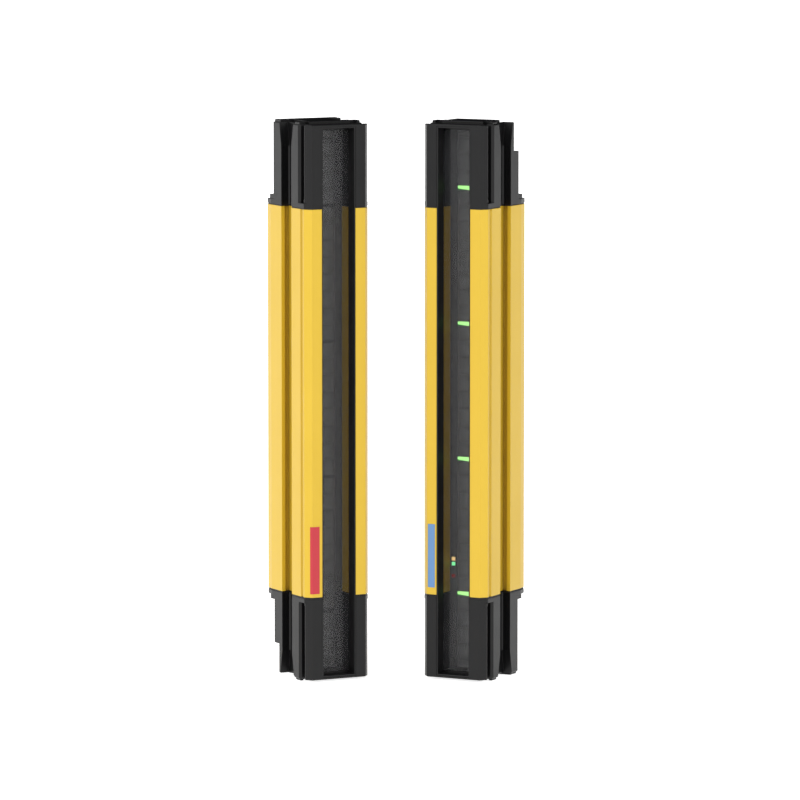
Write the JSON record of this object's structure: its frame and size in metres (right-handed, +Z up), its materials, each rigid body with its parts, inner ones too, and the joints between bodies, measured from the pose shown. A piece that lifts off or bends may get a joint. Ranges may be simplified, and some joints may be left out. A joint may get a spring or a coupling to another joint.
{
  "type": "safety light curtain",
  "caption": "Upright emitter and receiver bars with smoked front windows, slotted yellow housings and black end caps, turned towards each other.",
  "frame": {"origin": "middle of the pair's outer box, on the surface that both bars stand on", "axes": "+Z up along the bars, -Y towards the front of the pair, +X from the emitter to the receiver"},
  "size_m": [0.1326, 0.0565, 0.288],
  "materials": {
    "yellow_powder_coat": "satin yellow powder coat on extruded aluminium",
    "black_die_casting": "satin black coat on die-cast zinc",
    "smoked_acrylic": "polished smoked acrylic",
    "black_rubber": "matte moulded rubber",
    "black_moulding": "fine-textured moulding",
    "lens_acrylic": "tinted moulded lens strip",
    "circuit_board": "solder-masked board",
    "diode_resin": "moulded resin",
    "screw_steel": "zinc-plated steel",
    "pin_brass": "gold-flashed brass",
    "ribbon_film": "flexible flat cable",
    "clear_lamp": "unlit clear light pipe",
    "green_lamp": "lit green light pipe",
    "amber_lamp": "lit amber light pipe",
    "red_lamp": "dim red light pipe",
    "red_label": "printed film",
    "blue_label": "printed film"
  },
  "bodies": {
    "root": {"emitter_beam_board": "circuit_board", "emitter_beam_diodes": "diode_resin", "emitter_board_header": "black_moulding", "emitter_control_board": "circuit_board", "emitter_housing": "yellow_powder_coat", "emitter_inlet_pins": "pin_brass", "emitter_inlet_ribbon": "ribbon_film", "emitter_inlet_shell": "black_moulding", "emitter_lens_module_1": "lens_acrylic", "emitter_lens_module_2": "lens_acrylic", "emitter_lens_module_3": "lens_acrylic", "emitter_lens_module_4": "lens_acrylic", "emitter_lens_module_5": "lens_acrylic", "emitter_optics_carrier": "black_moulding", "emitter_plain_cap_screws": "screw_steel", "emitter_plain_end_cap": "black_die_casting", "emitter_plain_end_gasket": "black_rubber", "emitter_plug_cap_screws": "screw_steel", "emitter_plug_end_cap": "black_die_casting", "emitter_plug_end_gasket": "black_rubber", "emitter_status_lamps": "clear_lamp", "emitter_type_label": "red_label", "emitter_window": "smoked_acrylic", "emitter_window_gasket": "black_rubber", "receiver_amber_lamp": "amber_lamp", "receiver_beam_board": "circuit_board", "receiver_board_header": "black_moulding", "receiver_control_board": "circuit_board", "receiver_green_lamp": "green_lamp", "receiver_housing": "yellow_powder_coat", "receiver_inlet_pins": "pin_brass", "receiver_inlet_ribbon": "ribbon_film", "receiver_inlet_shell": "black_moulding", "receiver_lens_module_1": "lens_acrylic", "receiver_lens_module_2": "lens_acrylic", "receiver_lens_module_3": "lens_acrylic", "receiver_lens_module_4": "lens_acrylic", "receiver_lens_module_5": "lens_acrylic", "receiver_optics_carrier": "black_moulding", "receiver_photo_diodes": "diode_resin", "receiver_plain_cap_screws": "screw_steel", "receiver_plain_end_cap": "black_die_casting", "receiver_plain_end_gasket": "black_rubber", "receiver_plug_cap_screws": "screw_steel", "receiver_plug_end_cap": "black_die_casting", "receiver_plug_end_gasket": "black_rubber", "receiver_red_lamp": "red_lamp", "receiver_type_label": "blue_label", "receiver_window": "smoked_acrylic", "receiver_window_gasket": "black_rubber", "receiver_zone_lamp_1": "green_lamp", "receiver_zone_lamp_2": "green_lamp", "receiver_zone_lamp_3": "green_lamp", "receiver_zone_lamp_4": "green_lamp"}
  },
  "joints": []
}
